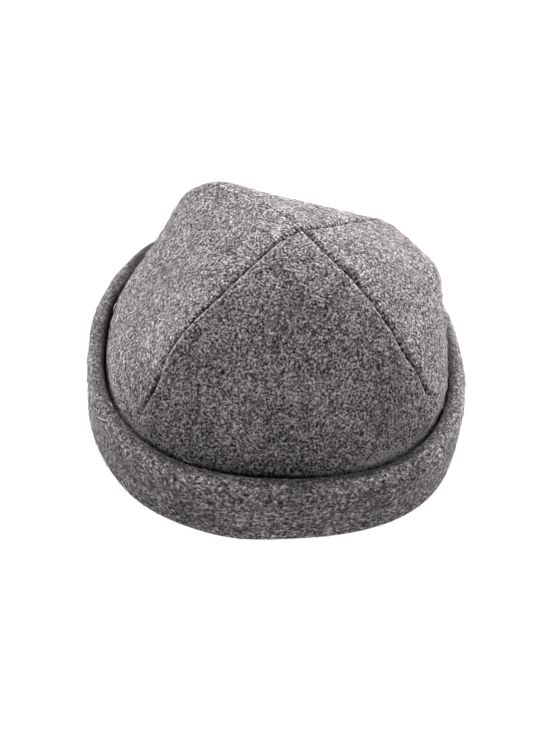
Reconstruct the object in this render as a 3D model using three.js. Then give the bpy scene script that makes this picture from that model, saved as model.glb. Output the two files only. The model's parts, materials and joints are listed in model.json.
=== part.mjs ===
// Sauna hat of thick heather-grey wool felt: a crown of four panels and a turned-up cuff.
// Millimetres, +Z up, front towards -Y. The hat rests on its lower rim at z = 0.
import * as THREE from "three";

// Felt
const FELT = 3.0; // thickness of one layer
const CLEARANCE = 0.45; // air between the crown and the cuff where they touch
const OVAL_POWER = 2.38; // 2 is an ellipse, more is squarer

// Crown
const FOOT_HALF_WIDTH = 88.0; // outside of the crown's tube, across
const FOOT_HALF_LENGTH = 94.0; // outside of the crown's tube, front to back
const FOOT_HEIGHT = 26.3; // the panels turn into the upright tube here
const FOOT_HOLD = 6; // how closely the swells leave the foot alone
const SETTLE_LEVEL = 0.6; // below this share of the way down, a panel settles on the oval
const APEX = { x: 7.3, y: -9.1, z: 107.9 }; // where the four seams cross
const CROWN_BOTTOM = FELT + CLEARANCE;

// Seams, as seen from above: azimuth of the foot, turn of the upper end, and the curve's pull.
// reach runs out from the apex, fall drops below it, rise stands above the foot.
const SEAMS = [
  { name: "front_left", azimuth: 225.6, twist: 5.7, reach: 38.4, fall: -5.6, rise: 53.3 },
  { name: "front_right", azimuth: 323.6, twist: -24.3, reach: 61.8, fall: -1.1, rise: 23.7 },
  { name: "back_right", azimuth: 401.8, twist: 2.7, reach: 44.6, fall: 17.8, rise: 61.6 },
  { name: "back_left", azimuth: 489.4, twist: -6.2, reach: 71.9, fall: 3.8, rise: 60.9 },
];

// Middle line of each panel, between a seam and the next.
const PANELS = [
  { name: "front", reach: 59.1, fall: -6.7, rise: 15.0 },
  { name: "right", reach: 43.2, fall: 6.0, rise: 50.9 },
  { name: "back", reach: 51.0, fall: 7.5, rise: 38.7 },
  { name: "left", reach: 49.9, fall: -8.8, rise: 15.0 },
];

// Soft swells and dents of the standing felt. level is 0 at the apex and 1 at the foot.
const SWELLS = [
  { name: "back_left_corner", azimuth: 128, level: 0.5, wide: 24, tall: 0.16, out: 2.9, up: 0.1 },
  { name: "peak_left", azimuth: 122, level: 0.4, wide: 11, tall: 0.11, out: 5.4, up: 0.4 },
  { name: "peak", azimuth: 108, level: 0.46, wide: 15, tall: 0.12, out: -1.0, up: 0.4 },
  { name: "right_top", azimuth: 15, level: 0.5, wide: 28, tall: 0.15, out: -1.3, up: 1.1 },
  { name: "right_corner", azimuth: 14, level: 0.64, wide: 15, tall: 0.09, out: 5.8, up: -0.5 },
  { name: "right_wall", azimuth: 0, level: 0.76, wide: 34, tall: 0.15, out: 0.8, up: 3.0 },
  { name: "front_left_wall", azimuth: 222, level: 0.72, wide: 14, tall: 0.13, out: -3.7, up: 6.7 },
  { name: "left_wall", azimuth: 178, level: 0.7, wide: 28, tall: 0.18, out: -5.9, up: 0.1 },
];

// Seam lines: a narrow groove outside and the turned-in edges as a low ridge inside.
const GROOVE_DEPTH = 1.3;
const GROOVE_SPREAD = 1.3;
const RIDGE_HEIGHT = 1.8;
const RIDGE_SPREAD = 3.2;
const SEAM_END_LEVEL = 0.93; // the seams end as darts above the cuff
const SEAM_FADE = 0.06;

// Cuff: a band folded in half, fold on top, open between its layers.
const CUFF = {
  baseHalfWidth: 97.4,
  baseHalfLength: 110.6,
  topHalfWidth: 97.6,
  topHalfLength: 111.6,
  mouthHalfWidth: 89.3, // inner edge of the fold
  mouthHalfLength: 96.8,
  height: 31.8,
  foldSide: 4.4, // height of the rounded fold at the sides
  foldFront: 6.4, // and at the front and back
  corner: 5.0, // radius where the outer layer turns in
  hem: FELT, // the turned-in edge reaches as far as the crown's inner face
  liningTop: 13.0, // the inner layer lies against the crown below this height
  liningBottom: 4.6, // and ends here, just above the hem
};

// Where the outer layer of the cuff stands out or up a little
const CUFF_SWELLS = [
  { name: "front_left", azimuth: 259, wide: 15, out: 2.7, up: 0.0 },
  { name: "back_right", azimuth: 79, wide: 15, out: 2.7, up: 0.0 },
  { name: "back_left", azimuth: 127, wide: 10, out: 2.6, up: 1.2 },
];

// Mesh fineness
const CUFF_COLUMNS = 80;
const FACE_STEPS = { corner: 4, wall: 3, fold: 8, lining: 3 };
const SLOT_STEPS = { corner: 2, wall: 2, fold: 4, lining: 2 };
const GUIDE_DIVISIONS = 200;
const HALF_PANEL = [0, 0.012, 0.03, 0.06, 0.11, 0.18, 0.26, 0.34, 0.42, 0.5];
const LEVELS = [
  0, 0.03, 0.075, 0.125, 0.18, 0.24, 0.3, 0.355, 0.41, 0.46, 0.51, 0.56, 0.61, 0.665, 0.72, 0.78,
  0.84, 0.89, 0.94, 1,
];
const TUBE_HEIGHTS = [15, CROWN_BOTTOM];

const RADIANS = Math.PI / 180;

function smoothstep(low, high, value) {
  const t = Math.min(1, Math.max(0, (value - low) / (high - low)));
  return t * t * (3 - 2 * t);
}

function ovalRadius(azimuth, halfWidth, halfLength) {
  const across = Math.pow(Math.abs(Math.cos(azimuth)) / halfWidth, OVAL_POWER);
  const along = Math.pow(Math.abs(Math.sin(azimuth)) / halfLength, OVAL_POWER);
  return Math.pow(across + along, -1 / OVAL_POWER);
}

function onOval(azimuth, halfWidth, halfLength, z) {
  const r = ovalRadius(azimuth, halfWidth, halfLength);
  return new THREE.Vector3(r * Math.cos(azimuth), r * Math.sin(azimuth), z);
}

// A line from the apex to the foot, as points at the given shares of its length.
function guideLine(azimuth, twist, pull) {
  const apex = new THREE.Vector3(APEX.x, APEX.y, APEX.z);
  const foot = onOval(azimuth, FOOT_HALF_WIDTH, FOOT_HALF_LENGTH, FOOT_HEIGHT);
  const turned = azimuth + twist;
  const upper = apex
    .clone()
    .add(new THREE.Vector3(Math.cos(turned), Math.sin(turned), 0).multiplyScalar(pull.reach));
  upper.z -= pull.fall;
  const lower = foot.clone();
  lower.z += pull.rise;
  const curve = new THREE.CubicBezierCurve3(apex, upper, lower, foot);
  curve.arcLengthDivisions = GUIDE_DIVISIONS;
  return LEVELS.map((level) => curve.getPointAt(level));
}

const SEAM_LINES = SEAMS.map((seam) =>
  guideLine(seam.azimuth * RADIANS, seam.twist * RADIANS, seam),
);

// Columns of the crown: panel by panel, close together beside the seams.
const SHARES = [...HALF_PANEL, ...HALF_PANEL.slice(1, -1).reverse().map((u) => 1 - u)];

function crownColumns() {
  const columns = [];
  SEAMS.forEach((seam, i) => {
    const next = SEAMS[(i + 1) % SEAMS.length];
    const start = seam.azimuth;
    const end = i === SEAMS.length - 1 ? next.azimuth + 360 : next.azimuth;
    const middle = guideLine(
      ((start + end) / 2) * RADIANS,
      ((seam.twist + next.twist) / 2) * RADIANS,
      PANELS[i],
    );
    const left = SEAM_LINES[i];
    const right = SEAM_LINES[(i + 1) % SEAMS.length];
    for (const u of SHARES) {
      const azimuth = ((1 - u) * start + u * end) * RADIANS;
      columns.push(panelColumn(left, right, middle, u, azimuth));
    }
  });
  return columns;
}

// One column: the panel spans between its seams through its middle line and settles on the oval.
function panelColumn(left, right, middle, u, azimuth) {
  const bulge = 4 * u * (1 - u);
  const across = (k) => {
    const chord = left[k].clone().lerp(right[k], u);
    const centre = left[k].clone().lerp(right[k], 0.5);
    return chord.add(middle[k].clone().sub(centre).multiplyScalar(bulge));
  };
  const last = LEVELS.length - 1;
  const foot = onOval(azimuth, FOOT_HALF_WIDTH, FOOT_HALF_LENGTH, FOOT_HEIGHT);
  const correction = foot.sub(across(last));
  const points = LEVELS.map((level, k) => {
    const p = across(k).add(correction.clone().multiplyScalar(smoothstep(SETTLE_LEVEL, 1, level)));
    return k === 0 ? p : p.add(swell(azimuth, level));
  });
  const toSeam = LEVELS.map((_, k) => left[k].distanceTo(right[k]) * Math.min(u, 1 - u));
  return { azimuth, points, toSeam };
}

function swell(azimuth, level) {
  const out = new THREE.Vector3(Math.cos(azimuth), Math.sin(azimuth), 0);
  const sum = new THREE.Vector3();
  for (const s of SWELLS) {
    const turn = ((((azimuth / RADIANS - s.azimuth + 180) % 360) + 360) % 360) - 180;
    const share =
      Math.exp(-Math.pow(turn / s.wide, 2) - Math.pow((level - s.level) / s.tall, 2)) *
      (1 - Math.pow(level, FOOT_HOLD));
    sum.addScaledVector(out, s.out * share);
    sum.z += s.up * share;
  }
  return sum;
}

// Outward normals of a net of columns that closes round and meets in the apex.
function netNormals(columns) {
  const count = columns.length;
  const rows = columns[0].length;
  const normals = columns.map((column) => column.map(() => new THREE.Vector3()));
  const add = (corners) => {
    const [a, b, c] = corners.map(([i, k]) => columns[i][k]);
    const n = b.clone().sub(a).cross(c.clone().sub(a));
    for (const [i, k] of corners) {
      normals[i][k].add(n);
    }
  };
  for (let i = 0; i < count; i++) {
    const j = (i + 1) % count;
    for (let k = 0; k + 1 < rows; k++) {
      add([[i, k], [i, k + 1], [j, k + 1]]);
      if (k > 0) {
        add([[i, k], [j, k + 1], [j, k]]);
      }
    }
  }
  const top = new THREE.Vector3();
  normals.forEach((column) => top.add(column[0]));
  normals.forEach((column) => column[0].copy(top));
  normals.forEach((column) => column.forEach((n) => n.normalize()));
  return normals;
}

// Rings of points, each closed on itself, skinned in order.
function skin(rings, closedLoop) {
  const positions = [];
  const triangle = (a, b, c) => positions.push(...a.toArray(), ...b.toArray(), ...c.toArray());
  const strips = closedLoop ? rings.length : rings.length - 1;
  for (let s = 0; s < strips; s++) {
    const upper = rings[s];
    const lower = rings[(s + 1) % rings.length];
    const count = Math.max(upper.length, lower.length);
    for (let i = 0; i < count; i++) {
      const j = (i + 1) % count;
      if (upper.length === 1) {
        triangle(upper[0], lower[i], lower[j]);
      } else if (lower.length === 1) {
        triangle(upper[i], lower[0], upper[j]);
      } else {
        triangle(upper[i], lower[i], lower[j]);
        triangle(upper[i], lower[j], upper[j]);
      }
    }
  }
  const geometry = new THREE.BufferGeometry();
  geometry.setAttribute("position", new THREE.Float32BufferAttribute(positions, 3));
  geometry.computeVertexNormals();
  return geometry;
}

function makeCrown() {
  const columns = crownColumns();
  const smooth = columns.map((column) => [
    ...column.points,
    ...TUBE_HEIGHTS.map((z) => onOval(column.azimuth, FOOT_HALF_WIDTH, FOOT_HALF_LENGTH, z)),
  ]);
  const normals = netNormals(smooth);
  const rows = smooth[0].length;
  const outside = [];
  const inside = [];
  for (let k = 0; k < rows; k++) {
    const level = k < LEVELS.length ? LEVELS[k] : 1;
    const sewn = 1 - smoothstep(SEAM_END_LEVEL - SEAM_FADE, SEAM_END_LEVEL, level);
    const outer = [];
    const inner = [];
    columns.forEach((column, i) => {
      const away = k < LEVELS.length ? column.toSeam[k] : Infinity;
      const groove = sewn * GROOVE_DEPTH * Math.exp(-away / GROOVE_SPREAD);
      const ridge = sewn * RIDGE_HEIGHT * Math.exp(-Math.pow(away / RIDGE_SPREAD, 2));
      const n = normals[i][k];
      outer.push(smooth[i][k].clone().addScaledVector(n, -groove));
      const lined = smooth[i][k].clone().addScaledVector(n, -FELT - ridge);
      if (k === rows - 1) {
        lined.z = CROWN_BOTTOM;
      }
      inner.push(lined);
    });
    outside.push(k === 0 ? [outer[0]] : outer);
    if (k === 0 || k % 2 === 1 || k >= LEVELS.length - 2) {
      inside.unshift(k === 0 ? [inner[0]] : inner);
    }
  }
  return skin([...outside, ...inside], false);
}

function cuffSwell(azimuth) {
  const sum = { out: 0, up: 0 };
  for (const s of CUFF_SWELLS) {
    const turn = ((((azimuth / RADIANS - s.azimuth + 180) % 360) + 360) % 360) - 180;
    const share = Math.exp(-Math.pow(turn / s.wide, 2));
    sum.out += s.out * share;
    sum.up += s.up * share;
  }
  return sum;
}

// Section of the band at one azimuth, set in by a depth: hem, corner, outer wall, fold, lining.
function bandSection(azimuth, depth, steps) {
  const stand = cuffSwell(azimuth);
  const out = stand.out - depth;
  const base = ovalRadius(azimuth, CUFF.baseHalfWidth, CUFF.baseHalfLength) + out;
  const top = ovalRadius(azimuth, CUFF.topHalfWidth, CUFF.topHalfLength) + out;
  const mouth = ovalRadius(azimuth, CUFF.mouthHalfWidth, CUFF.mouthHalfLength) + depth;
  const tube = ovalRadius(azimuth, FOOT_HALF_WIDTH, FOOT_HALF_LENGTH);
  const lining = tube + CLEARANCE + depth;
  const along = Math.pow(Math.sin(azimuth), 2);
  const fold = CUFF.foldSide + (CUFF.foldFront - CUFF.foldSide) * along;
  const shoulder = CUFF.height + stand.up - fold;
  const section = [{ r: tube - CUFF.hem, z: depth }];
  const corner = CUFF.corner - depth;
  for (let i = 0; i <= steps.corner; i++) {
    const turn = (Math.PI / 2) * (i / steps.corner);
    section.push({
      r: base - corner + corner * Math.sin(turn),
      z: depth + corner - corner * Math.cos(turn),
    });
  }
  for (let i = 1; i < steps.wall; i++) {
    const share = i / steps.wall;
    section.push({
      r: base + (top - base) * smoothstep(0, 1, share),
      z: CUFF.corner + (shoulder - CUFF.corner) * share,
    });
  }
  const centre = (top + mouth) / 2;
  const half = (top - mouth) / 2;
  for (let i = 0; i <= steps.fold; i++) {
    const turn = Math.PI * (i / steps.fold);
    section.push({
      r: centre + half * Math.cos(turn),
      z: shoulder + (fold - depth) * Math.sin(turn),
    });
  }
  for (let i = 1; i <= steps.lining; i++) {
    const share = i / steps.lining;
    section.push({
      r: mouth + (lining - mouth) * smoothstep(0, 1, share),
      z: shoulder + (CUFF.liningTop - shoulder) * share,
    });
  }
  section.push({ r: lining, z: CUFF.liningBottom });
  return section;
}

function makeCuff() {
  const columns = [];
  for (let i = 0; i < CUFF_COLUMNS; i++) {
    const azimuth = ((2 * Math.PI) / CUFF_COLUMNS) * i;
    const face = bandSection(azimuth, 0, FACE_STEPS);
    const slot = bandSection(azimuth, FELT, SLOT_STEPS);
    const around = [...face, ...slot.reverse()];
    columns.push(
      around.map((p) => new THREE.Vector3(p.r * Math.cos(azimuth), p.r * Math.sin(azimuth), p.z)),
    );
  }
  const rings = columns[0].map((_, k) => columns.map((column) => column[k]).reverse());
  return skin(rings, true);
}

function named(name, geometry, colour) {
  const material = new THREE.MeshStandardMaterial({ color: colour, roughness: 0.95, metalness: 0 });
  material.name = name + "_felt";
  const mesh = new THREE.Mesh(geometry, material);
  mesh.name = name;
  return mesh;
}

const hat = new THREE.Group();
hat.name = "sauna_hat";
hat.add(named("crown", makeCrown(), 0x8c898a));
hat.add(named("cuff", makeCuff(), 0x6c696b));

export default hat;
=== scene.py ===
"""A grey felt sauna hat with four crown panels and a turned-up cuff, on a pale floor."""

import json
import math

import bpy
import numpy as np
from mathutils import Matrix, Vector, noise

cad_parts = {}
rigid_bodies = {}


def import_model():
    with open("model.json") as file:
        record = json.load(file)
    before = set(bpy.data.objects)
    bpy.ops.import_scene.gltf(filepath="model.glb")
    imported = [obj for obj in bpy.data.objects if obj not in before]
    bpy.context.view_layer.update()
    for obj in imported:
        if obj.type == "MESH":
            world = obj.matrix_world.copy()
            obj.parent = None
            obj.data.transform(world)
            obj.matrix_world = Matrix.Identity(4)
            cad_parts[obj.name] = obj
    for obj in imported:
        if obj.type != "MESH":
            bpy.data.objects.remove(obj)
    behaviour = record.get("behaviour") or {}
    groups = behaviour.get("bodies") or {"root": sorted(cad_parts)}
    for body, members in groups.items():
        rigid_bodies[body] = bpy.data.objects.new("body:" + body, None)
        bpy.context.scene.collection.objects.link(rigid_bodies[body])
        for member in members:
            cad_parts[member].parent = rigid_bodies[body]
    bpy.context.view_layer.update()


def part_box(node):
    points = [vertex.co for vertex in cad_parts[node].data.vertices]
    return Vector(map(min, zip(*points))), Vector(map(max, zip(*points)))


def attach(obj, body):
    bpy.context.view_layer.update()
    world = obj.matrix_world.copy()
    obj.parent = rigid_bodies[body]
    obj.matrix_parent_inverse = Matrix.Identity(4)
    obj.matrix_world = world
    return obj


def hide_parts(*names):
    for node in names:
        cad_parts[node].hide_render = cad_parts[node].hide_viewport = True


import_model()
CROWN_LOW, CROWN_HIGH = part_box("crown")

bl_info = {
    "name": "Felt Sauna Hat",
    "version": (1, 0, 0),
    "blender": (4, 5, 0),
    "location": "View3D > Sidebar > Felt Hat",
    "description": "Makes a felt hat with a four-panel crown and a folded cuff",
    "category": "Add Mesh",
}

MM = 0.001


def table(columns, *rows):
    """Rows of values as dictionaries, by the columns' names."""
    return [dict(zip(columns.split(), row)) for row in rows]


# Crown. Sizes are metres and degrees, and azimuth 270 is the front of the hat. A level is a share of the
# way from the top to the foot, and tall is a span of levels. In these tables reach, fall, rise, out and up
# are millimetres. A panel lies between the seam in its own row and the next one.
FOOT_HALF_WIDTH = CROWN_HIGH.x
FOOT_HALF_LENGTH = 94.0 * MM
FOOT_HEIGHT = 26.3 * MM
OVAL_POWER = 2.38
APEX = np.array([7.3, -9.1, 107.9]) * MM
SETTLE_LEVEL = 0.6  # from here down the panels settle onto the foot's oval
FOOT_HOLD = 6  # how suddenly the swells die away at the foot
SEAMS = table(
    "name azimuth twist reach fall rise",
    ("front_left", 225.6, 5.7, 38.4, -5.6, 53.3),
    ("front_right", 323.6, -24.3, 61.8, -1.1, 23.7),
    ("back_right", 401.8, 2.7, 44.6, 17.8, 61.6),
    ("back_left", 489.4, -6.2, 71.9, 3.8, 60.9),
)
PANELS = table(
    "name reach fall rise",
    ("front", 59.1, -6.7, 15.0),
    ("right", 43.2, 6.0, 50.9),
    ("back", 51.0, 7.5, 38.7),
    ("left", 49.9, -8.8, 15.0),
)
SWELLS = table(
    "name azimuth level wide tall out up",
    ("back_left_corner", 128, 0.5, 24, 0.16, 2.9, 0.1),
    ("peak_left", 122, 0.4, 11, 0.11, 5.4, 0.4),
    ("peak", 108, 0.46, 15, 0.12, -1.0, 0.4),
    ("right_top", 15, 0.5, 28, 0.15, -1.3, 1.1),
    ("right_corner", 14, 0.64, 15, 0.09, 5.8, -0.5),
    ("right_wall", 0, 0.76, 34, 0.15, 0.8, 3.0),
    ("front_left_wall", 222, 0.72, 14, 0.13, -3.7, 6.7),
    ("left_wall", 178, 0.7, 28, 0.18, -5.9, 0.1),
    ("back_left_foot", 141, 0.82, 13, 0.11, -2.4, 0.0),
    ("front_right_foot", 324, 0.91, 15, 0.06, 6.0, -2.0),
)

# Line that each seam draws: side of the rolled edge (1 is anticlockwise), depth and width of the groove
# and height of the rolled edge against the usual ones, which also set the shade painted in the groove and
# the highlight painted on the edge, and the level where it ends
LINES = table(
    "edge deep wide rim end",
    (1, 1.0, 0.85, 1.0, 0.94),
    (-1, 1.2, 1.15, 1.2, 0.852),
    (-1, 1.1, 1.2, 0.5, 0.93),
    (1, 0.6, 0.8, 0.9, 0.93),
)
# How far each line wanders towards its rolled edge, in millimetres, at these levels
LINE_LEVELS = (0.04, 0.12, 0.2, 0.28, 0.4, 0.48, 0.56, 0.64, 0.72, 0.78, 0.825, 0.838, 0.85, 0.92)
WANDERS = [
    (-0.4, -1.1, -0.2, 0.55, 0.8, 0.0, -0.55, -0.2, 0.0, 1.25, 1.1, 0.6, 0.2, -1.3),
    (0.0, 0.4, -0.2, -0.9, -0.9, -0.4, 0.6, 1.5, 0.65, 1.1, 1.5, -0.8, -3.2, -3.2),
    (0.0,) * len(LINE_LEVELS),
    (-0.6,) * len(LINE_LEVELS),
]
SEAM_FADE = 0.025
GROOVE_POWER = 1.3
CREASE_WIDTH = 0.5 * MM
RIM_PLACE = 1.05 * MM
RIM_WIDTH = 0.6 * MM
PLUMP_PLACE = 3.4 * MM
PLUMP_WIDTH = 2.6 * MM
ALLOWANCE_WIDTH = 3.2 * MM
SEAM_STEP = 40  # sets the stitches of one seam apart from the next one's

# Cuff
BASE_HALF_WIDTH = 97.4 * MM
BASE_HALF_LENGTH = 110.6 * MM
TOP_HALF_WIDTH = 97.6 * MM
TOP_HALF_LENGTH = 111.6 * MM
MOUTH_HALF_WIDTH = 89.3 * MM
MOUTH_HALF_LENGTH = 96.8 * MM
CUFF_HEIGHT = 31.8 * MM
CUFF_SWELLS = table(
    "name azimuth wide out up",
    ("front_left", 259, 15, 2.7, 0.0),
    ("back_right", 79, 15, 2.7, 0.0),
    ("back_left", 127, 10, 2.6, 1.2),
    ("left", 156, 9, -0.8, 0.0),
    ("front_left_corner", 235, 12, 1.2, 0.0),
    ("front_right_corner", 308, 18, 1.4, 0.0),
)
FOLD_SIDE = 4.4 * MM
FOLD_FRONT = 6.4 * MM
CORNER = 5.0 * MM
LINING_TOP = 13.0 * MM
LINING_BOTTOM = 4.6 * MM
CLEARANCE = 0.45 * MM

# Unevenness of the felt: fineness and height, in millimetres, of its waves, dimples and pills
RELIEF = table("scale height", (30, 0.42), (95, 0.16), (330, 0.09))
CROWN_SHIFT = Vector((3.1, 1.147, -3.1))
CUFF_SHIFT = Vector((7.7, 2.849, -7.7))
LINING_RELIEF = 0.5  # share of it on the crown's inside
CUFF_RELIEF = 1.15
SOLE_HEIGHT = 0.2 * MM
SOLE_FADE = 6 * MM

# Painted shade where the crown sinks behind the cuff, which reaches less far up at the front
SINK_SHARE = 0.9
SINK_HEIGHT = 28.0 * MM
SINK_FRONT_DROP = 1.7 * MM
SINK_FADE = 0.7 * MM
# Painted light at the crown's foot: over a wide strip, and right at the edge
FOOT_LIGHT_PAINT = table(
    "azimuth wide edge",
    (182, 0.0, 0.0),
    (196, 0.06, 0.06),
    (208, 0.1, 0.25),
    (224, 0.12, 0.5),
    (236, 0.04, 0.2),
    (250, 0.03, 0.08),
    (270, 0.03, 0.0),
    (286, 0.06, 0.2),
    (298, 0.12, 0.42),
    (307, 0.14, 0.48),
    (318, 0.1, 0.42),
    (327, 0.04, 0.42),
    (342, 0.0, 0.08),
    (355, 0.0, 0.0),
)
FOOT_LIGHT_FULL_BELOW = 30 * MM
FOOT_LIGHT_NONE_ABOVE = 39 * MM
FOOT_LIGHT_EDGE_HEIGHT = 28 * MM
FOOT_LIGHT_EDGE_WIDTH = 3.2 * MM
# Painted light and shade in places on the crown's panels: azimuth, height in millimetres, half spans and
# tone
LIGHT_AND_SHADE_PATCHES = table(
    "azimuth height wide tall tone",
    (275, 76, 24, 17, 0.04),
    (306, 48, 13, 11, -0.08),
    (238, 48, 11, 10, -0.03),
    (200, 37, 13, 10, 0.07),
    (350, 70, 26, 22, 0.05),
)
# Painted shade on the cuff: the line beside the crown, the inner slope's darkness and its reach in
# millimetres, and painted light on the wool outside and inside
SLOPES = table(
    "azimuth line dark reach outer inner",
    (0, 0.58, 0.26, 5.0, 0.07, 0.0),
    (20, 0.7, 0.25, 5.0, 0.05, 0.0),
    (110, 0.9, 0.6, 6.0, 0.0, 0.0),
    (128, 0.95, 0.9, 14.0, 0.0, 0.0),
    (140, 0.95, 0.85, 8.0, 0.0, 0.0),
    (153, 0.9, 0.25, 5.0, 0.0, 0.0),
    (175, 0.8, 0.25, 7.0, 0.04, 0.05),
    (194, 0.8, 0.2, 6.0, 0.04, 0.05),
    (208, 0.9, 0.45, 6.0, 0.11, 0.0),
    (224, 0.95, 0.45, 8.5, 0.02, 0.0),
    (236, 0.97, 0.8, 8.5, 0.0, 0.0),
    (250, 0.97, 0.6, 9.0, 0.0, 0.0),
    (270, 0.97, 0.55, 8.5, 0.0, 0.0),
    (286, 0.97, 0.82, 8.5, 0.0, 0.0),
    (298, 0.97, 0.84, 7.0, 0.02, 0.0),
    (307, 0.97, 0.74, 6.5, 0.02, 0.0),
    (318, 0.8, 0.24, 5.0, 0.02, 0.0),
    (328, 0.25, 0.05, 5.0, 0.08, 0.07),
    (342, 0.05, 0.0, 5.0, 0.11, 0.14),
)
SLOPE_LINE_WIDTH = 2.1 * MM
SLOPE_FADE = (0.6, 1.35)  # shares of the reach between which the dark slope ends
SLOPE_HEIGHTS = (14 * MM, 22 * MM)
OUTER_FADE = (4 * MM, 8 * MM)  # how far past the mouth the cuff's outside begins
SIDE_CALM = 0.4  # share of the wool's contrast that is lost at the cuff's two sides

# Wool. Fineness is per metre.
SHIFTED = (0.37, 0.11, 0.23)
NOISES = {
    "speckle": {"scale": 880, "detail": 1.5, "roughness": 0.6, "distortion": 0.4},
    "clump": {"scale": 280, "detail": 1.0},
    "pale_thread": {"scale": 520, "detail": 0.6, "distortion": 1.8},
    "dark_thread": {"scale": 560, "detail": 0.6, "distortion": 1.8},
}
CLOUD = {"scale": 42, "detail": 3.0, "roughness": 0.55}
WISP = {"scale": 75, "detail": 3.0, "distortion": 1.2}
WISP_STRETCH = (1, 1, 2.4)
WISP_TONE = 0.34
# Finish of each piece's felt: fineness and contrast of its grain, strength of its pale and dark curls
CROWN_FINISH = {"grain": 1.0, "bold": 0.94, "pale": 0.22, "dark": 0.30}
CUFF_FINISH = {"grain": 0.9, "bold": 0.8, "pale": 0.06, "dark": 0.24}
CUFF_WEAVE = 84 * MM  # the felt's fibres are drawn out along the band: its length counts as this radius
MEAN_TONE = 0.47
SPECKLE_TONE = 2.8
CLUMP_TONE = 0.3
CLOUD_TONE = 0.3
PALE_THINNESS = 15.0
DARK_THINNESS = 13.0
LIT_CONTRAST = 1.6
SPECKLE_BUMP = 0.7
CURL_BUMP = 0.35
BUMP_STRENGTH = 0.8
BUMP_DISTANCE = 0.0006
FELT_ROUGHNESS = 0.86
FELT_ROUGHNESS_SPREAD = 0.1
FELT_SHINE = 0.04
FELT_SHEEN = 0.03
FELT_SHEEN_ROUGHNESS = 0.45
# Painted shade in the pits of the wool of every panel but the front one: what it adds all over, what it
# takes off in the dark curls, and what it takes off above a tone
PITS_LIFT = 0.035
PITS_DARK = 0.2
PITS_TOP_TONE = 0.58
PITS_TOP = 0.15
# Seams, in millimetres beside and along the line: shade painted in the groove, a highlight painted on the
# rolled edge, light and shade painted on the puckers, and the stitches
CREASE_SHADE_TONE = 0.95
RIM_HIGHLIGHT_TONE = 0.26
PUCKER_SHADING_TONE = 0.6
PUCKER_BUMP = 5.0
PUCKER_ALONG = 0.55
PUCKER_ACROSS = 0.08
PUCKER_REACH = 4.5
PUCKER_START = 0.3
PUCKER_SHARE = 0.6
PUCKER_LEAN = 0.5
STITCH_TONE = 0.18
STITCH_BUMP = 0.6
STITCH_PLACE = -1.2
STITCH_WIDTH = 0.7
STITCH_PITCH = 2.5
STITCH_WOBBLE = 5.0

# Stray hairs: where they lie, how many, the seed of their places and the height above which they lie
HAIRS = table(
    "name host count seed lowest",
    ("crown_hairs", "crown_felt", 10000, 11, CROWN_LOW.z + 20 * MM),
    ("cuff_hairs", "cuff_felt", 4000, 12, 3 * MM),
)
SORT_WAY = np.array([0.31, 0.57, 0.76])  # slants across the hat, so that no two faces tie
HAIR_FACES_UP = 0.3
HAIR_FACES_DOWN = -0.5
LONG_SHARE = 0.035
LONG_LENGTH = 1.9
HAIR_LENGTHS = (0.45, 1.35)
HAIR_CURL = 0.9
HAIR_BEND = 0.55
HAIR_LIFT = 0.07
HAIR_TIP_LIFT = 0.6
HAIR_FLOAT = 0.07 * MM
LONG_RADII = (0.11, 0.17)
SHORT_RADII = (0.05, 0.11)
HAIR_STEPS = 4
HAIR_SIDES = 3
HAIR_TINT_SCALE = 140
HAIR_TINT_START = 0.36
HAIR_TINT_CONTRAST = 3.4
HAIR_ROUGHNESS = 0.7
HAIR_ROUGHNESS_SPREAD = 0.2
HAIR_SHINE = 0.3

# Mesh fineness
PANEL_COLUMNS = 110
PANEL_CROWDING = 0.75
CROWN_ROWS = 90
TUBE_ROWS = 9
GUIDE_POINTS = 241
CUFF_COLUMNS = 420
CUFF_LOOPS = 120
CORNER_POINTS = 9
WALL_POINTS = 12
ARCH_POINTS = 25
LINING_POINTS = 10
RING_RADIUS = 100 * MM
RING_THICKNESS = 20 * MM

# Stage: soft round lamps (azimuth 90 is behind the hat, 0 to its right) over a floor that glows white
LAMPS = table(
    "name azimuth elevation watts",
    ("low_back_right", 45, 20, 38.5),
    ("low_back_left", 135, 20, 14.5),
    ("high_back_left", 135, 52, 12.0),
    ("high_back", 90, 52, 3.0),
    ("back_left", 113, 35, 14.5),
    ("low_right", 0, 20, 6.6),
    ("low_left", 180, 20, 2.9),
    ("low_front", 270, 20, 2.2),
    ("above", 270, 85, 4.5),
    ("high_front_left", 225, 52, 1.5),
)
LAMP_DISTANCE = 1.4
LAMP_SIZE = 0.9
SKY_STRENGTH = 0.02
FLOOR_SIZE = 40.0
FLOOR_GLOW = 0.98
FLOOR_GRAIN = 60
FLOOR_DARKEST = 0.985
FLOOR_ROUGHNESS = 0.8
FLOOR_SHINE = 0.1
WHITE = (1, 1, 1, 1)

# Camera: the long side of the picture takes the whole sensor
SENSOR = 36.0
PICTURE = (550, 733)
EYE_DISTANCE = 0.65
EYE_ELEVATION = 38.0
EYE_AZIMUTH = -4.71
EYE_ROLL = 4.54
EYE_TARGET = Vector((0, 0, 0.04))
FOCAL_PIXELS = 1254.5
AIM_PIXELS = (2.85, -37.38)


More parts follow.
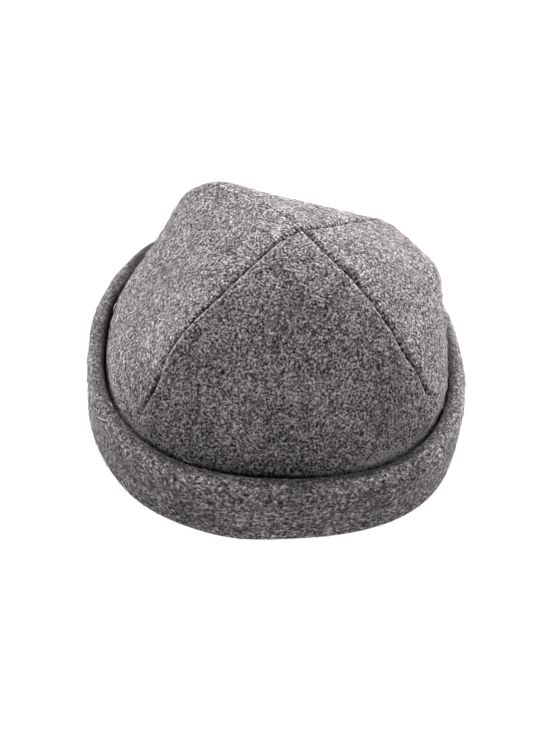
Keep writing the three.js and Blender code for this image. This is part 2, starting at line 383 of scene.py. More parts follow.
class HatSizes(bpy.types.PropertyGroup):
    felt: bpy.props.FloatProperty(
        name="Felt", description="Thickness of one layer of felt", default=3.0 * MM, min=0, unit="LENGTH"
    )
    groove: bpy.props.FloatProperty(
        name="Seam groove",
        description="Depth of the line along a seam",
        default=1.7 * MM,
        min=0,
        unit="LENGTH",
    )
    groove_width: bpy.props.FloatProperty(
        name="Seam width", description="Half width of that line", default=0.75 * MM, min=0, unit="LENGTH"
    )
    allowance: bpy.props.FloatProperty(
        name="Seam allowance",
        description="How far the turned-in edges stand up inside",
        default=1.8 * MM,
        min=0,
        unit="LENGTH",
    )
    plump: bpy.props.FloatProperty(
        name="Plumpness",
        description="How far the felt swells beside a seam",
        default=0.35 * MM,
        unit="LENGTH",
    )
    rim: bpy.props.FloatProperty(
        name="Rolled edge", description="Height of the edge along a seam", default=0.45 * MM, unit="LENGTH"
    )
    hair: bpy.props.FloatProperty(
        name="Hair", description="Length of a stray wool hair", default=3.4 * MM, min=0, unit="LENGTH"
    )


class HatColours(bpy.types.PropertyGroup):
    dark: bpy.props.FloatVectorProperty(
        name="Dark wool", description="Darkest fibres", subtype="COLOR", default=(0.0140, 0.0125, 0.0130)
    )
    middle: bpy.props.FloatVectorProperty(
        name="Grey wool", description="Most of the fibres", subtype="COLOR", default=(0.157, 0.1445, 0.149)
    )
    light: bpy.props.FloatVectorProperty(
        name="Light wool", description="Lightest fibres", subtype="COLOR", default=(0.68, 0.63, 0.65)
    )
    floor: bpy.props.FloatVectorProperty(
        name="Floor", description="Colour of the floor", subtype="COLOR", default=(0.05, 0.05, 0.05)
    )


def smoothstep(low, high, value):
    t = np.clip((value - low) / (high - low), 0, 1)
    return t * t * (3 - 2 * t)


def bell(value):
    """One at zero, falling away on both sides."""
    return np.exp(-(value**2))


def degrees_between(azimuth, middle):
    """Degrees from the middle to an azimuth, the short way round."""
    return (azimuth - middle + 180) % 360 - 180


def by_azimuth(azimuth, rows, key):
    """One column of a table, read between its rows' azimuths all the way round."""
    return np.interp(np.degrees(azimuth), [r["azimuth"] for r in rows], [r[key] for r in rows], period=360)


def oval_radius(azimuth, half_width, half_length):
    across = (np.abs(np.cos(azimuth)) / half_width) ** OVAL_POWER
    along = (np.abs(np.sin(azimuth)) / half_length) ** OVAL_POWER
    return (across + along) ** (-1 / OVAL_POWER)


def mouth_radius(azimuth):
    """Radius of the cuff's opening at its top, where it meets the crown."""
    return oval_radius(azimuth, MOUTH_HALF_WIDTH, MOUTH_HALF_LENGTH)


def foot_place(azimuth):
    """Place on the oval where the crown's panels become its tube."""
    r = oval_radius(azimuth, FOOT_HALF_WIDTH, FOOT_HALF_LENGTH)
    return np.array([r * math.cos(azimuth), r * math.sin(azimuth), FOOT_HEIGHT])


def run_along(points):
    """Length of a line from its first point to each of its points."""
    return np.concatenate([[0], np.cumsum(np.linalg.norm(np.diff(points, axis=0), axis=1))])


def guide_line(azimuth, twist, pull, levels):
    """Points of a curve from the apex to the foot, at shares of its length."""
    foot = foot_place(azimuth)
    turned = azimuth + twist
    upper = APEX + np.array([math.cos(turned), math.sin(turned), 0]) * pull["reach"] * MM
    upper[2] -= pull["fall"] * MM
    lower = foot + np.array([0, 0, pull["rise"] * MM])
    t = np.linspace(0, 1, GUIDE_POINTS)[:, None]
    s = 1 - t
    points = s**3 * APEX + 3 * s * s * t * upper + 3 * s * t * t * lower + t**3 * foot
    run = run_along(points)
    return np.stack([np.interp(levels * run[-1], run, points[:, k]) for k in range(3)], axis=-1)


def swell(azimuth, levels):
    """Push of the soft swells and dents at one azimuth, for all levels."""
    out = np.array([math.cos(azimuth), math.sin(azimuth), 0])
    push = np.zeros((len(levels), 3))
    for s in SWELLS:
        turn = degrees_between(math.degrees(azimuth), s["azimuth"])
        share = bell(turn / s["wide"]) * bell((levels - s["level"]) / s["tall"])
        share = share * (1 - levels**FOOT_HOLD)
        push += share[:, None] * (out * s["out"] + np.array([0, 0, s["up"]])) * MM
    push[0] = 0
    return push


def crown_net():
    """Places of the crown's outside, as columns of points from the top down.

    With them come each point's distance to the nearest seam, positive on the side of its rolled edge, the
    run along that seam, the numbers of the seam and of the panel by column, and the level by row."""
    levels = np.linspace(0, 1, CROWN_ROWS + 1)
    radians = math.radians
    lines = [guide_line(radians(s["azimuth"]), radians(s["twist"]), s, levels) for s in SEAMS]
    runs = [run_along(line) for line in lines]
    columns, to_seam, along, seam_ids, panel_ids = [], [], [], [], []
    for i, seam in enumerate(SEAMS):
        j = (i + 1) % len(SEAMS)
        start = seam["azimuth"]
        end = SEAMS[j]["azimuth"] + (360 if j == 0 else 0)
        twist = (seam["twist"] + SEAMS[j]["twist"]) / 2
        middle = guide_line(radians((start + end) / 2), radians(twist), PANELS[i], levels)
        left, right = lines[i], lines[j]
        width = np.linalg.norm(right - left, axis=1)
        for step in range(PANEL_COLUMNS):
            s = step / PANEL_COLUMNS
            u = s - PANEL_CROWDING * math.sin(2 * math.pi * s) / (2 * math.pi)
            azimuth = radians((1 - u) * start + u * end)
            across = (1 - u) * left + u * right + 4 * u * (1 - u) * (middle - (left + right) / 2)
            foot = foot_place(azimuth)
            settle = smoothstep(SETTLE_LEVEL, 1, levels)[:, None]
            column = across + settle * (foot - across[-1]) + swell(azimuth, levels)
            heights = np.linspace(FOOT_HEIGHT, CROWN_LOW.z, TUBE_ROWS + 1)[1:]
            tube = np.stack([foot[0] + 0 * heights, foot[1] + 0 * heights, heights], axis=-1)
            columns.append(np.concatenate([column, tube]))
            nearest, sense = (i, 1) if u < 0.5 else (j, -1)
            side = sense * LINES[nearest]["edge"] * width * min(u, 1 - u)
            to_seam.append(np.concatenate([side, np.full(TUBE_ROWS, side[-1])]))
            along.append(np.concatenate([runs[nearest], np.full(TUBE_ROWS, runs[nearest][-1])]))
            seam_ids.append(nearest)
            panel_ids.append(i)
    level = np.concatenate([levels, np.full(TUBE_ROWS, 1.0)])
    made = [np.array(part) for part in (columns, to_seam, along, seam_ids, panel_ids)]
    return *made, level


def deselect():
    bpy.ops.object.select_all(action="DESELECT")


def new_piece(name):
    """Names the object that an operator has just added, with its place in its mesh."""
    piece = bpy.context.object
    piece.name = name
    piece.data.name = name
    bpy.ops.object.transform_apply(location=True, rotation=True, scale=True)
    return piece


def read_points(mesh):
    flat = np.empty(len(mesh.vertices) * 3)
    mesh.vertices.foreach_get("co", flat)
    return flat.reshape(-1, 3)


def read_normals(mesh):
    flat = np.empty(len(mesh.vertices) * 3, dtype=np.float32)
    mesh.vertex_normals.foreach_get("vector", flat)
    return flat.reshape(-1, 3).astype(float)


def write_points(mesh, points):
    mesh.vertices.foreach_set("co", np.ascontiguousarray(points, dtype=np.float32).ravel())
    mesh.update()


def store(mesh, name, values):
    """Keeps one number or one vector per vertex for the material."""
    kind, key = ("FLOAT", "value") if values.ndim == 1 else ("FLOAT_VECTOR", "vector")
    layer = mesh.attributes.get(name) or mesh.attributes.new(name, kind, "POINT")
    layer.data.foreach_set(key, np.ascontiguousarray(values, dtype=np.float32).ravel())


def felt_relief(points, shift):
    """Height of the felt's own unevenness."""
    height = np.empty(len(points))
    for i, p in enumerate(points):
        v = Vector(p)
        height[i] = sum(wave["height"] * noise.noise(v * wave["scale"] + shift) for wave in RELIEF)
    return height * MM


def apply_modifier(piece, kind, name, **settings):
    modifier = piece.modifiers.new(name, kind)
    for key, value in settings.items():
        setattr(modifier, key, value)
    bpy.context.view_layer.objects.active = piece
    bpy.ops.object.modifier_apply(modifier=name)


class Signal:
    """A shader socket that takes part in Python expressions."""

    def __init__(self, desk, socket):
        self.desk = desk
        self.socket = socket

    def __add__(self, other):
        return self.desk.math("ADD", self, other)

    def __radd__(self, other):
        return self.desk.math("ADD", other, self)

    def __sub__(self, other):
        return self.desk.math("SUBTRACT", self, other)

    def __rsub__(self, other):
        return self.desk.math("SUBTRACT", other, self)

    def __mul__(self, other):
        return self.desk.math("MULTIPLY", self, other)

    def __rmul__(self, other):
        return self.desk.math("MULTIPLY", other, self)

    def __truediv__(self, other):
        return self.desk.math("DIVIDE", self, other)

    def __rtruediv__(self, other):
        return self.desk.math("DIVIDE", other, self)

    def __abs__(self):
        return self.desk.math("ABSOLUTE", self)

    def clamp(self):
        return self.desk.math("ADD", self, 0.0, clamp=True)

    def sine(self):
        return self.desk.math("SINE", self)

    def bell(self):
        """One at zero, falling away on both sides."""
        return self.desk.math("EXPONENT", 0 - self * self)


class ShaderDesk:
    """Lays out one material's nodes."""

    def __init__(self, name):
        self.material = bpy.data.materials.new(name)
        self.material.use_nodes = True
        self.tree = self.material.node_tree
        self.tree.nodes.clear()

    def node(self, kind, settings, sockets, output=0):
        """Adds a node of a type, sets it up, feeds its sockets and returns one of its outputs."""
        made = self.tree.nodes.new(kind)
        for key, value in settings.items():
            setattr(made, key, value)
        for key, value in sockets.items():
            if isinstance(value, Signal):
                self.tree.links.new(value.socket, made.inputs[key])
            else:
                made.inputs[key].default_value = value
        return Signal(self, made.outputs[output])

    def math(self, operation, *values, clamp=False):
        settings = {"operation": operation, "use_clamp": clamp}
        return self.node("ShaderNodeMath", settings, dict(enumerate(values)))

    def place(self):
        return self.node("ShaderNodeTexCoord", {}, {}, "Object")

    def stored(self, name, output="Fac"):
        """A value or, with the output Vector, a vector that the mesh stores."""
        return self.node("ShaderNodeAttribute", {"attribute_name": name}, {}, output)

    def noise(self, where, scale, detail=2.0, roughness=0.5, distortion=0.0):
        sockets = {
            "Vector": where,
            "Scale": scale,
            "Detail": detail,
            "Roughness": roughness,
            "Distortion": distortion,
        }
        return self.node("ShaderNodeTexNoise", {}, sockets)

    def mapped(self, where, location=(0, 0, 0), scale=(1, 1, 1)):
        sockets = {"Vector": where, "Location": location, "Scale": scale}
        return self.node("ShaderNodeMapping", {}, sockets)

    def mix(self, factor, first, second):
        """Mixes two colours, whose sockets share their names with others and so go by number."""
        return self.node("ShaderNodeMix", {"data_type": "RGBA"}, {0: factor, 6: first, 7: second}, 2)

    def finish(self, sockets):
        """Ends the material with a principled surface."""
        surface = self.node("ShaderNodeBsdfPrincipled", {}, sockets)
        output = self.tree.nodes.new("ShaderNodeOutputMaterial")
        self.tree.links.new(surface.socket, output.inputs["Surface"])
        return self.material


def opaque(colour):
    return (*colour, 1.0)


def felt_material(name, finish, drawn, seams):
    """Heather felt: dark, grey and light fibres matted together.

    Drawn felt follows the stored weave and has wisps, and felt with seams has creases with painted shade,
    puckers with painted light and shade, and painted shade in the pits of the wool."""
    colours = bpy.context.scene.hat_colours
    desk = ShaderDesk(name)
    where = desk.stored("weave", "Vector") if drawn else desk.place()
    shifted = desk.mapped(where, location=SHIFTED)
    places = {"speckle": where, "clump": shifted, "pale_thread": where, "dark_thread": shifted}
    grains = {}
    for key, pattern in NOISES.items():
        grains[key] = desk.noise(places[key], **{**pattern, "scale": pattern["scale"] * finish["grain"]})
    speckle, clump, pale_thread, dark_thread = grains.values()
    cloud = desk.noise(shifted, **CLOUD)
    pale_curl = (1 - abs(pale_thread - 0.5) * PALE_THINNESS).clamp()
    dark_curl = (1 - abs(dark_thread - 0.5) * DARK_THINNESS).clamp()
    curl = pale_curl * finish["pale"] - dark_curl * finish["dark"]
    grain = (speckle - 0.5) * SPECKLE_TONE + (clump - 0.5) * CLUMP_TONE + curl
    calm, lit, painted_shade = [desk.stored(key) for key in ("calm", "lit", "painted_shade")]
    # Where light is painted the tone is raised and the grain made bolder
    grain = grain * finish["bold"] * (1 - calm) * (1 + lit * LIT_CONTRAST)
    tone = MEAN_TONE + grain + (cloud - 0.5) * CLOUD_TONE + lit
    if drawn:
        wisp = desk.noise(desk.mapped(where, scale=WISP_STRETCH), **WISP)
        tone = tone + (wisp - 0.5) * WISP_TONE
    height = speckle * SPECKLE_BUMP + pale_curl * CURL_BUMP - dark_curl * CURL_BUMP
    if seams:
        keys = ("crease_shade", "rim", "sewn", "side", "along", "pit_shade")
        crease_shade, rim, sewn, side, along, pit_shade = [desk.stored(key) for key in keys]
        # Painted shade in the pits of the wool, on every panel but the front one
        capped = (tone - PITS_TOP_TONE).clamp() * PITS_TOP
        tone = tone + pit_shade * (PITS_LIFT - dark_curl * PITS_DARK - capped)
        away = abs(side)
        lean = (PUCKER_SHARE - side * PUCKER_LEAN).clamp()
        strip = desk.node("ShaderNodeCombineXYZ", {}, {"X": along * PUCKER_ALONG, "Y": away * PUCKER_ACROSS})
        pucker = desk.noise(strip, 1.0, detail=1.0) - 0.5
        beside = (away / PUCKER_REACH).bell() * (away - PUCKER_START).clamp() * sewn * lean
        tight = ((side - STITCH_PLACE) / STITCH_WIDTH).bell() * sewn
        stitch = (along * STITCH_PITCH + pucker * STITCH_WOBBLE).sine() * tight
        # The puckers' folds get painted light and shade as well as a bump
        folds = pucker * beside
        # Shade painted in the groove, a highlight painted on the rolled edge, the puckers' painted light and
        # shade, and the stitches
        tone = tone - crease_shade * CREASE_SHADE_TONE + rim * RIM_HIGHLIGHT_TONE + folds * PUCKER_SHADING_TONE - stitch * STITCH_TONE
        height = height + folds * PUCKER_BUMP - stitch * STITCH_BUMP
    tone = tone.clamp()
    shade = desk.mix((tone * 2).clamp(), opaque(colours.dark), opaque(colours.middle))
    colour = desk.mix((tone * 2 - 1).clamp(), shade, opaque(colours.light))
    bump = {"Height": height, "Strength": BUMP_STRENGTH, "Distance": BUMP_DISTANCE}
    return desk.finish(
        {
            # Where shade is painted the colour goes over to the dark wool
            "Base Color": desk.mix(painted_shade, colour, opaque(colours.dark)),
            "Roughness": FELT_ROUGHNESS + speckle * FELT_ROUGHNESS_SPREAD,
            "Normal": desk.node("ShaderNodeBump", {}, bump),
            "Specular IOR Level": FELT_SHINE,
            "Sheen Weight": FELT_SHEEN,
            "Sheen Roughness": FELT_SHEEN_ROUGHNESS,
        }
    )


def hair_material():
    colours = bpy.context.scene.hat_colours
    desk = ShaderDesk("stray_wool")
    tint = desk.noise(desk.place(), HAIR_TINT_SCALE, detail=1.0)
    share = ((tint - HAIR_TINT_START) * HAIR_TINT_CONTRAST + desk.stored("pale")).clamp()
    return desk.finish(
        {
            "Base Color": desk.mix(share, opaque(colours.middle), opaque(colours.light)),
            "Roughness": HAIR_ROUGHNESS + tint * HAIR_ROUGHNESS_SPREAD,
            "Specular IOR Level": HAIR_SHINE,
        }
    )


def floor_material():
    colours = bpy.context.scene.hat_colours
    desk = ShaderDesk("pale_floor")
    grain = desk.noise(desk.place(), FLOOR_GRAIN)
    darkest = [c * FLOOR_DARKEST for c in colours.floor]
    return desk.finish(
        {
            "Base Color": desk.mix(grain, opaque(colours.floor), opaque(darkest)),
            "Roughness": FLOOR_ROUGHNESS,
            "Specular IOR Level": FLOOR_SHINE,
            "Emission Color": WHITE,
            "Emission Strength": FLOOR_GLOW,
        }
    )


def seam_rim(side, sewn, line):
    """Share of the rolled edge beside a seam, which also sets the highlight painted along it."""
    return sewn * line["rim"] * bell((side - RIM_PLACE) / RIM_WIDTH)


def seam_profile(sizes, side, sewn, line):
    """Height added beside the seams: the groove, the rolled edge and the plump felt."""
    away = np.abs(side)
    spread = (away / (sizes.groove_width * line["wide"])) ** GROOVE_POWER
    groove = sizes.groove * line["deep"] * np.exp(-spread)
    plump = sizes.plump * bell((away - PLUMP_PLACE) / PLUMP_WIDTH)
    return sewn * (plump - groove) + sizes.rim * seam_rim(side, sewn, line)


def painted_shade_on_crown(azimuth, height):
    """Share of the shade painted at the crown's foot, where it sinks behind the cuff."""
    front = np.maximum(0, -np.sin(azimuth)) ** 2
    start = SINK_HEIGHT - SINK_FRONT_DROP * front
    share = SINK_SHARE * (1 - by_azimuth(azimuth, FOOT_LIGHT_PAINT, "edge")) ** 2
    return share * np.exp(-np.maximum(0, height - start) / SINK_FADE)


def painted_foot_light(azimuth, height):
    """Tone of the light painted on the crown's foot above the cuff."""
    wide = by_azimuth(azimuth, FOOT_LIGHT_PAINT, "wide") * (1 - smoothstep(FOOT_LIGHT_FULL_BELOW, FOOT_LIGHT_NONE_ABOVE, height))
    edge = by_azimuth(azimuth, FOOT_LIGHT_PAINT, "edge") * bell((height - FOOT_LIGHT_EDGE_HEIGHT) / FOOT_LIGHT_EDGE_WIDTH)
    return wide + edge


def patch_light_and_shade(azimuth, height):
    """Tone of the painted light and shade in those places."""
    tone = np.zeros(len(height))
    for p in LIGHT_AND_SHADE_PATCHES:
        turn = degrees_between(np.degrees(azimuth), p["azimuth"])
        tone += p["tone"] * bell(turn / p["wide"]) * bell((height / MM - p["height"]) / p["tall"])
    return tone


def painted_shade_on_cuff(azimuth, past, height):
    """Share of the shade painted on the inner slope of the cuff's fold, by the distance past its mouth."""
    past = np.maximum(0, past)
    line = by_azimuth(azimuth, SLOPES, "line") * bell(past / SLOPE_LINE_WIDTH)
    start, end = (share * by_azimuth(azimuth, SLOPES, "reach") * MM for share in SLOPE_FADE)
    slope = by_azimuth(azimuth, SLOPES, "dark") * (1 - smoothstep(start, end, past))
    return np.maximum(line, slope) * smoothstep(*SLOPE_HEIGHTS, height)


def open_ball(name, columns, rows):
    """A ball without its lowest point, and the column and the row of each of its points."""
    deselect()
    bpy.ops.mesh.primitive_uv_sphere_add(segments=columns, ring_count=rows, radius=FOOT_HALF_WIDTH)
    piece = new_piece(name)
    mesh = piece.data
    bpy.ops.object.mode_set(mode="EDIT")
    bpy.ops.mesh.select_all(action="DESELECT")
    bpy.ops.object.mode_set(mode="OBJECT")
    lowest = int(np.argmin(read_points(mesh)[:, 2]))
    mesh.vertices[lowest].select = True
    bpy.ops.object.mode_set(mode="EDIT")
    bpy.ops.mesh.delete(type="VERT")
    bpy.ops.object.mode_set(mode="OBJECT")
    ball = read_points(mesh)
    polar = np.arccos(np.clip(ball[:, 2] / FOOT_HALF_WIDTH, -1, 1))
    row = np.clip(np.rint(polar / math.pi * rows).astype(int), 0, rows - 1)
    turn = np.arctan2(ball[:, 1], ball[:, 0]) / (2 * math.pi) * columns
    return piece, np.rint(turn).astype(int) % columns, row


class HAT_OT_crown(bpy.types.Operator):
    """Make the crown: four felt panels sewn together, open below"""

    bl_idname = "hat.crown"
    bl_label = "Crown"

    def execute(self, context):
        sizes = context.scene.hat_sizes
        net, to_seam, run, seam_ids, panel_ids, level = crown_net()
        piece, column, row = open_ball("crown_felt", *net.shape[:2])
        mesh = piece.data
        write_points(mesh, net[column, row])
        apply_modifier(piece, "SOLIDIFY", "felt", thickness=sizes.felt, offset=-1.0, use_rim=True)

        count = len(column)
        points = read_points(mesh)
        normals = read_normals(mesh)
        seam = seam_ids[column]
        line = {key: np.array([float(one[key]) for one in LINES])[seam] for key in LINES[0]}
        wander = np.array([np.interp(level, LINE_LEVELS, one) for one in WANDERS]) * MM
        away = np.abs(to_seam[column, row])
        side = to_seam[column, row] - wander[seam, row]
        sewn = 1 - smoothstep(line["end"] - SEAM_FADE, line["end"], level[row])
        above = smoothstep(CROWN_LOW.z, FOOT_HEIGHT, points[:count, 2])
        relief = felt_relief(points[:count], CROWN_SHIFT) * above
        outward = relief + seam_profile(sizes, side, sewn, line)
        inward = sewn * sizes.allowance * bell(away / ALLOWANCE_WIDTH) + LINING_RELIEF * relief
        points += normals * np.concatenate([outward, inward])[:, None]
        write_points(mesh, points)

        turn = np.arctan2(points[:count, 1], points[:count, 0])
        height = points[:count, 2]
        # Shade painted into the seam's groove
        crease_shade = sewn * np.minimum(1, line["deep"]) * bell(side / (CREASE_WIDTH * line["wide"]))
        looks = {
            "crease_shade": crease_shade,
            # Highlight painted on the seam's rolled edge
            "rim": seam_rim(side, sewn, line),
            "sewn": sewn,
            # Painted shade at the crown's foot
            "painted_shade": painted_shade_on_crown(turn, height),
            # Painted light at the crown's foot and painted light and shade on its panels
            "lit": painted_foot_light(turn, height) + patch_light_and_shade(turn, height),
        }
        for key, values in looks.items():
            store(mesh, key, np.concatenate([values, 0 * values]))
        # Shade is painted in the wool's pits on every panel but the front one
        pit_shaded = (panel_ids[column] > 0).astype(float)
        along = run[column, row] / MM + SEAM_STEP * seam
        for key, values in (("pit_shade", pit_shaded), ("side", side / MM), ("along", along)):
            store(mesh, key, np.concatenate([values, values]))
        bpy.ops.object.shade_smooth()
        mesh.materials.append(felt_material("crown_wool", CROWN_FINISH, drawn=False, seams=True))
        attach(piece, "root")
        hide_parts("crown")
        return {"FINISHED"}


def cuff_swell(azimuth, key):
    """Sum of the cuff's swells and dents at one azimuth, in one column."""
    turns = [degrees_between(math.degrees(azimuth), s["azimuth"]) / s["wide"] for s in CUFF_SWELLS]
    return sum(s[key] * MM * bell(turn) for s, turn in zip(CUFF_SWELLS, turns))


def band_section(azimuth, depth):
    """Half outline of the cuff's band at one azimuth, set in by a depth, from hem to lining."""
    out = cuff_swell(azimuth, "out") - depth
    base = oval_radius(azimuth, BASE_HALF_WIDTH, BASE_HALF_LENGTH) + out
    top = oval_radius(azimuth, TOP_HALF_WIDTH, TOP_HALF_LENGTH) + out
    mouth = mouth_radius(azimuth) + depth
    tube = oval_radius(azimuth, FOOT_HALF_WIDTH, FOOT_HALF_LENGTH)
    lining = tube + CLEARANCE + depth
    fold = FOLD_SIDE + (FOLD_FRONT - FOLD_SIDE) * math.sin(azimuth) ** 2
    shoulder = CUFF_HEIGHT + cuff_swell(azimuth, "up") - fold
    felt = bpy.context.scene.hat_sizes.felt
    corner = CORNER - depth
    turn = np.linspace(0, math.pi / 2, CORNER_POINTS)
    bend = np.stack([base - corner + corner * np.sin(turn), depth + corner - corner * np.cos(turn)], -1)
    share = np.linspace(0, 1, WALL_POINTS)[1:-1]
    wall_r = base + (top - base) * smoothstep(0, 1, share)
    wall = np.stack([wall_r, CORNER + (shoulder - CORNER) * share], -1)
    turn = np.linspace(0, math.pi, ARCH_POINTS)
    centre, half = (top + mouth) / 2, (top - mouth) / 2
    arch = np.stack([centre + half * np.cos(turn), shoulder + (fold - depth) * np.sin(turn)], -1)
    share = np.linspace(0, 1, LINING_POINTS)[1:]
    inner_r = mouth + (lining - mouth) * smoothstep(0, 1, share)
    inner = np.stack([inner_r, shoulder + (LINING_TOP - shoulder) * share], -1)
    return np.concatenate([[[tube - felt, depth]], bend, wall, arch, inner, [[lining, LINING_BOTTOM]]])


def around(section, count):
    """A closed outline as evenly spaced points."""
    closed = np.concatenate([section, section[:1]])
    run = run_along(closed)
    at = np.arange(count) / count * run[-1]
    return np.stack([np.interp(at, run, closed[:, k]) for k in range(2)], -1)


class HAT_OT_cuff(bpy.types.Operator):
    """Make the cuff: a band of felt folded over at the top and turned in at the bottom"""

    bl_idname = "hat.cuff"
    bl_label = "Cuff"

    def execute(self, context):
        sizes = context.scene.hat_sizes
        deselect()
        bpy.ops.mesh.primitive_torus_add(
            major_segments=CUFF_COLUMNS,
            minor_segments=CUFF_LOOPS,
            major_radius=RING_RADIUS,
            minor_radius=RING_THICKNESS,
        )
        piece = new_piece("cuff_felt")
        mesh = piece.data
        ring = read_points(mesh)
        azimuth = np.arctan2(ring[:, 1], ring[:, 0])
        column = np.rint(azimuth / (2 * math.pi) * CUFF_COLUMNS).astype(int) % CUFF_COLUMNS
        turn = np.arctan2(ring[:, 2], np.hypot(ring[:, 0], ring[:, 1]) - RING_RADIUS)
        loop = np.rint(turn / (2 * math.pi) * CUFF_LOOPS).astype(int) % CUFF_LOOPS
        outline = np.empty((CUFF_COLUMNS, CUFF_LOOPS, 3))
        weave = np.empty((CUFF_COLUMNS, CUFF_LOOPS, 3))
        for i in range(CUFF_COLUMNS):
            a = 2 * math.pi * i / CUFF_COLUMNS
            face, slot = band_section(a, 0.0), band_section(a, sizes.felt)
            section = around(np.concatenate([face, slot[::-1]]), CUFF_LOOPS)
            outline[i, :, 0] = section[:, 0] * math.cos(a)
            outline[i, :, 1] = section[:, 0] * math.sin(a)
            outline[i, :, 2] = section[:, 1]
            step = np.linalg.norm(section[1] - section[0])
            weave[i, :, :2] = CUFF_WEAVE * math.cos(a), CUFF_WEAVE * math.sin(a)
            weave[i, :, 2] = step * np.arange(CUFF_LOOPS)
        write_points(mesh, outline[column, loop])
        store(mesh, "weave", weave[column, loop])

        normals = read_normals(mesh)
        points = read_points(mesh)
        lifted = smoothstep(SOLE_HEIGHT, SOLE_FADE, points[:, 2])
        points += normals * (felt_relief(points, CUFF_SHIFT) * CUFF_RELIEF * lifted)[:, None]
        points[:, 2] = np.maximum(points[:, 2], 0)
        write_points(mesh, points)

        turn = np.arctan2(points[:, 1], points[:, 0])
        past = np.hypot(points[:, 0], points[:, 1]) - mouth_radius(turn)
        outside = smoothstep(*OUTER_FADE, past)
        outer, inner = (by_azimuth(turn, SLOPES, key) for key in ("outer", "inner"))
        # Painted shade on the cuff's inner slope, and painted light outside and inside
        store(mesh, "painted_shade", painted_shade_on_cuff(turn, past, points[:, 2]))
        store(mesh, "lit", outer * outside + inner * (1 - outside))
        store(mesh, "calm", SIDE_CALM * np.cos(turn) ** 2)
        bpy.ops.object.shade_smooth()
        mesh.materials.append(felt_material("cuff_wool", CUFF_FINISH, drawn=True, seams=False))
        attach(piece, "root")
        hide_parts("cuff")
        return {"FINISHED"}


def hairy(host_name, centres, facing, lowest):
    """True where hairs may lie: on felt seen from outside, above a height, and not in the cuff's slot."""
    radial = centres[:, 0] * facing[:, 0] + centres[:, 1] * facing[:, 1]
    shown = (centres[:, 2] > lowest) & ((radial > 0) | (facing[:, 2] > HAIR_FACES_UP))
    if host_name == "cuff_felt":
        mouth = mouth_radius(np.arctan2(centres[:, 1], centres[:, 0]))
        shown &= (np.hypot(centres[:, 0], centres[:, 1]) > mouth) & (facing[:, 2] > HAIR_FACES_DOWN)
    return shown


def hair_faces(last):
    """Triangles of one hair, from its first point over rings of corners to its last point."""
    faces = []
    for k in range(HAIR_SIDES):
        n = (k + 1) % HAIR_SIDES
        faces.append((0, 1 + n, 1 + k))
        faces.append((last, last - HAIR_SIDES + k, last - HAIR_SIDES + n))
        for ring in range(1, last - HAIR_SIDES, HAIR_SIDES):
            faces.append((ring + k, ring + n, ring + HAIR_SIDES + n))
            faces.append((ring + k, ring + HAIR_SIDES + n, ring + HAIR_SIDES + k))
    return np.array(faces)


def sorted_quads(mesh, points):
    """Faces with four corners, whose order and first corners depend on their places alone."""
    faces = np.array([p.vertices[:] for p in mesh.polygons if len(p.vertices) == 4])
    first = np.argmax(points[faces] @ SORT_WAY, axis=1)
    corners = (first[:, None] + np.arange(4)) % 4
    faces = faces[np.arange(len(faces))[:, None], corners]
    return faces[np.argsort(points[faces].mean(axis=1) @ SORT_WAY)]


def scatter_hairs(job, length):
    """Short curved wool hairs lying on a host's outside, as one mesh."""
    count = job["count"]
    rng = np.random.default_rng(job["seed"])
    mesh = bpy.data.objects[job["host"]].data
    points, normals = read_points(mesh), read_normals(mesh)
    faces = sorted_quads(mesh, points)
    centres = points[faces].mean(axis=1)
    facing = normals[faces].mean(axis=1)
    span_a = points[faces[:, 1]] - points[faces[:, 0]]
    span_b = points[faces[:, 3]] - points[faces[:, 0]]
    # Fewer hairs lie where shade is painted on the felt
    shade = np.empty(len(points), dtype=np.float32)
    mesh.attributes["painted_shade"].data.foreach_get("value", shade)
    area = np.linalg.norm(np.cross(span_a, span_b), axis=1)
    area = area * hairy(job["host"], centres, facing, job["lowest"]) * (1 - shade[faces].mean(axis=1)) ** 3
    chosen = rng.choice(len(area), size=count, p=area / area.sum())
    start = centres[chosen] + (rng.random((count, 1)) - 0.5) * span_a[chosen]
    start += (rng.random((count, 1)) - 0.5) * span_b[chosen]
    up = facing[chosen] / np.linalg.norm(facing[chosen], axis=1, keepdims=True)
    side = np.cross(up, rng.normal(size=(count, 3)))
    side /= np.linalg.norm(side, axis=1, keepdims=True)
    cross = np.cross(up, side)
    long = rng.random((count, 1)) < LONG_SHARE
    size = length * rng.uniform(*HAIR_LENGTHS, (count, 1)) * np.where(long, LONG_LENGTH, 1)
    curl = rng.normal(0, HAIR_CURL, (count, 1))
    lift = np.abs(rng.normal(0, HAIR_LIFT, (count, 1))) * size
    long_radius = rng.uniform(*LONG_RADII, (count, 1))
    short_radius = rng.uniform(*SHORT_RADII, (count, 1))
    radius = np.where(long, long_radius, short_radius) * MM
    rings = []
    for step in range(HAIR_STEPS + 1):
        t = step / HAIR_STEPS
        bend = curl * (t - 0.5)
        spot = start + side * size * (t - 0.5) + cross * size * HAIR_BEND * bend * (t - 0.5)
        spot = spot + up * (HAIR_FLOAT + lift * (4 * t * (1 - t)) + lift * HAIR_TIP_LIFT * t)
        corners = [spot]
        if 0 < step < HAIR_STEPS:
            angles = [2 * math.pi * k / HAIR_SIDES for k in range(HAIR_SIDES)]
            corners = [spot + radius * (math.cos(a) * cross + math.sin(a) * up) for a in angles]
        rings.append(np.stack(corners, axis=1))
    vertices = np.concatenate(rings, axis=1)
    per_hair = vertices.shape[1]
    index = (np.arange(count)[:, None, None] * per_hair + hair_faces(per_hair - 1)[None]).reshape(-1, 3)
    hairs = bpy.data.meshes.new(job["name"])
    hairs.from_pydata(vertices.reshape(-1, 3).tolist(), [], index.tolist())
    hairs.update()
    store(hairs, "pale", np.repeat(long[:, 0].astype(float), per_hair))
    piece = bpy.data.objects.new(job["name"], hairs)
    bpy.context.scene.collection.objects.link(piece)
    return piece


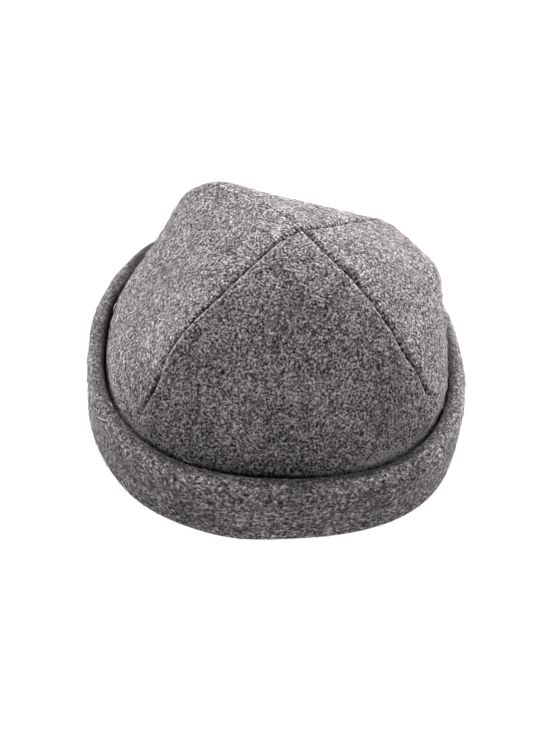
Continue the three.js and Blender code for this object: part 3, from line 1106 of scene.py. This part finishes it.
class HAT_OT_hairs(bpy.types.Operator):
    """Lay stray wool hairs on the felt"""

    bl_idname = "hat.hairs"
    bl_label = "Stray hairs"

    def execute(self, context):
        wool = hair_material()
        for job in HAIRS:
            piece = scatter_hairs(job, context.scene.hat_sizes.hair)
            piece.data.materials.append(wool)
            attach(piece, "root")
        return {"FINISHED"}


def from_angles(azimuth, elevation):
    """Direction from the hat towards an azimuth and an elevation, in radians."""
    level = math.cos(elevation)
    return Vector((math.cos(azimuth) * level, math.sin(azimuth) * level, math.sin(elevation)))


class HAT_OT_stage(bpy.types.Operator):
    """Set the pale floor, the soft lights and the camera"""

    bl_idname = "hat.stage"
    bl_label = "Stage"

    def execute(self, context):
        deselect()
        bpy.ops.mesh.primitive_plane_add(size=FLOOR_SIZE, location=(0, 0, 0))
        floor = new_piece("floor")
        floor.data.materials.append(floor_material())
        for lamp in LAMPS:
            data = bpy.data.lights.new(lamp["name"], "AREA")
            data.shape = "DISK"
            data.size = LAMP_SIZE
            data.energy = lamp["watts"]
            light = bpy.data.objects.new(lamp["name"], data)
            context.scene.collection.objects.link(light)
            turn, height = math.radians(lamp["azimuth"]), math.radians(lamp["elevation"])
            aim = -LAMP_DISTANCE * from_angles(turn, height)
            light.location = EYE_TARGET - aim
            light.rotation_euler = aim.to_track_quat("-Z", "Y").to_euler()
        world = bpy.data.worlds.new("studio")
        context.scene.world = world
        world.use_nodes = True
        sky = world.node_tree.nodes["Background"]
        sky.inputs["Color"].default_value = WHITE
        sky.inputs["Strength"].default_value = SKY_STRENGTH
        context.scene.view_settings.view_transform = "Standard"
        self.camera(context)
        return {"FINISHED"}

    def camera(self, context):
        """Stands in front of the hat and above it, and leans as the photograph does."""
        elevation, azimuth, roll = map(math.radians, (EYE_ELEVATION, EYE_AZIMUTH, EYE_ROLL))
        back = from_angles(azimuth - math.pi / 2, elevation)
        across = Vector((math.cos(azimuth), math.sin(azimuth), 0))
        upward = back.cross(across)
        right = across * math.cos(roll) + upward * math.sin(roll)
        top = upward * math.cos(roll) - across * math.sin(roll)
        forward = -back - right * (AIM_PIXELS[0] / FOCAL_PIXELS) + top * (AIM_PIXELS[1] / FOCAL_PIXELS)
        forward.normalize()
        right = forward.cross(top).normalized()
        top = right.cross(forward)
        data = bpy.data.cameras.new("eye")
        data.sensor_fit = "AUTO"
        data.sensor_width = SENSOR
        data.lens = FOCAL_PIXELS / PICTURE[1] * SENSOR
        camera = bpy.data.objects.new("eye", data)
        context.scene.collection.objects.link(camera)
        turn = Matrix((right, top, -forward)).transposed()
        camera.matrix_world = Matrix.Translation(EYE_TARGET + back * EYE_DISTANCE) @ turn.to_4x4()
        context.scene.camera = camera


class HAT_PT_sidebar(bpy.types.Panel):
    """The hat's pieces, sizes and colours"""

    bl_idname = "HAT_PT_sidebar"
    bl_label = "Felt Hat"
    bl_space_type = "VIEW_3D"
    bl_region_type = "UI"
    bl_category = "Felt Hat"

    def draw(self, context):
        for group in (context.scene.hat_sizes, context.scene.hat_colours):
            for key in group.__annotations__:
                self.layout.prop(group, key)
        for operator in OPERATORS:
            self.layout.operator(operator.bl_idname)


OPERATORS = (HAT_OT_crown, HAT_OT_cuff, HAT_OT_hairs, HAT_OT_stage)
CLASSES = (HatSizes, HatColours, *OPERATORS, HAT_PT_sidebar)


def register():
    for cls in CLASSES:
        bpy.utils.register_class(cls)
    bpy.types.Scene.hat_sizes = bpy.props.PointerProperty(type=HatSizes)
    bpy.types.Scene.hat_colours = bpy.props.PointerProperty(type=HatColours)


def unregister():
    del bpy.types.Scene.hat_colours
    del bpy.types.Scene.hat_sizes
    for cls in reversed(CLASSES):
        bpy.utils.unregister_class(cls)


def main():
    register()
    bpy.ops.hat.crown()
    bpy.ops.hat.cuff()
    bpy.ops.hat.hairs()
    bpy.ops.hat.stage()


if __name__ == "__main__":
    main()
